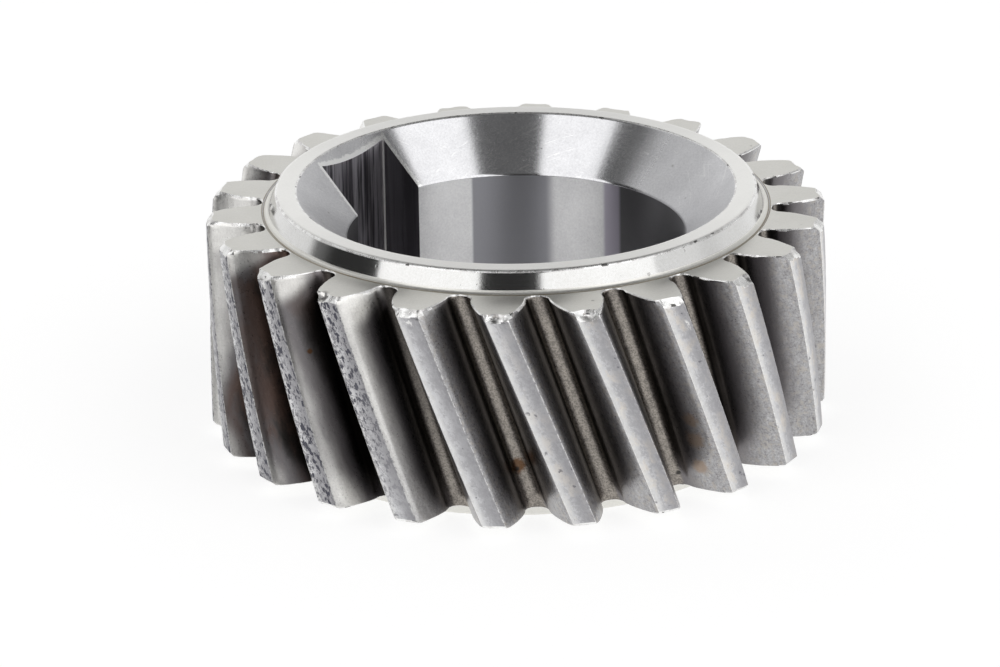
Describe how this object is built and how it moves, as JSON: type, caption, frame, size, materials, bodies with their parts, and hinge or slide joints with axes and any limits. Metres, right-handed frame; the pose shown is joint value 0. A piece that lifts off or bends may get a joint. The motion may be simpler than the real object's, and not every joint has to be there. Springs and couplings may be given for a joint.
{
  "type": "helical gear",
  "caption": "Left-hand helical timing gear in one piece, with a keyed bore, a wide countersink and low collars, fitted on a shaft to drive a meshing gear.",
  "frame": {"origin": "on the bore axis, in the plane of the rear collar's face, on which the gear stands", "axes": "+Z along the bore axis from the rear collar to the countersunk front face; +Y points from the axis to the keyway; +X completes the right-handed set"},
  "size_m": [0.0768, 0.0768, 0.0313],
  "materials": {
    "steel": "turned and hobbed bare steel, satin on the turned faces, darker and stained on the tooth flanks"
  },
  "bodies": {
    "root": {"gear": "steel"}
  },
  "joints": []
}
